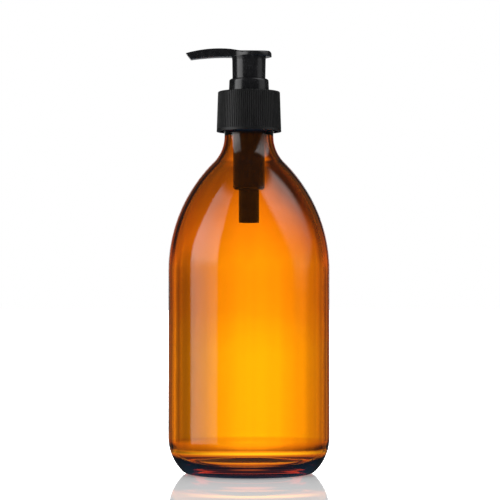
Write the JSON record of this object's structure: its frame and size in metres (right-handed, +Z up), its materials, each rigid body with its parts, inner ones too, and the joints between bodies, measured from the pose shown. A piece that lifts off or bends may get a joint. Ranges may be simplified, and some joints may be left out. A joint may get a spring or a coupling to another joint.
{
  "type": "soap pump dispenser",
  "caption": "Tall round amber glass bottle with a domed shoulder and a black screw-on pump head with a long nozzle.",
  "frame": {"origin": "centre of the base, on the surface that the bottle stands on", "axes": "+Z up along the bottle's axis; the nozzle points along -X at rest"},
  "size_m": [0.077, 0.077, 0.2026],
  "materials": {
    "bottle": "amber, clear, polished",
    "closure": "black, ribbed",
    "gasket": "white foamed liner",
    "pump_housing": "black, moulded",
    "chaplet": "black, polished",
    "actuator_head": "black, polished",
    "stem": "black, moulded",
    "stem_guide": "black, moulded",
    "piston_seal": "soft natural plastic",
    "inlet_ball": "glass ball",
    "outlet_ball": "polished steel ball",
    "ball_cage": "natural plastic",
    "return_spring": "stainless spring wire",
    "dip_tube": "thin clear tube"
  },
  "bodies": {
    "glass": {"bottle": "bottle"},
    "pump": {"pump_housing": "pump_housing", "gasket": "gasket", "chaplet": "chaplet", "stem_guide": "stem_guide", "ball_cage": "ball_cage", "return_spring": "return_spring", "dip_tube": "dip_tube"},
    "cap": {"closure": "closure"},
    "plunger": {"piston_seal": "piston_seal"},
    "head": {"actuator_head": "actuator_head", "stem": "stem"},
    "inlet_valve": {"inlet_ball": "inlet_ball"},
    "outlet_valve": {"outlet_ball": "outlet_ball"}
  },
  "joints": [
    {"name": "pump_rise", "type": "slide", "parent": "glass", "child": "pump", "axis": [0, 0, 1], "range_m": [0, 0.00445]},
    {"name": "closure_turn", "type": "hinge", "parent": "pump", "child": "cap", "pos_m": [0, 0, 0.172], "axis": [0, 0, 1], "range_deg": [0, 504.05]},
    {"name": "pump_stroke", "type": "slide", "parent": "pump", "child": "plunger", "axis": [0, 0, 1], "range_m": [-0.0105, 0], "stiffness_N_per_m": 900, "springref_m": 0.006, "deforming": ["return_spring"]},
    {"name": "head_turn", "type": "hinge", "parent": "plunger", "child": "head", "pos_m": [0, 0, 0.19], "axis": [0, 0, 1], "continuous": true},
    {"name": "inlet_valve_lift", "type": "slide", "parent": "pump", "child": "inlet_valve", "axis": [0, 0, 1], "range_m": [0, 0.0014]},
    {"name": "outlet_valve_lift", "type": "slide", "parent": "head", "child": "outlet_valve", "axis": [0, 0, 1], "range_m": [0, 0.0011]}
  ],
  "couplings": [
    {"joint": "closure_turn", "follows": "pump_rise", "rad_per_m": 1979}
  ]
}
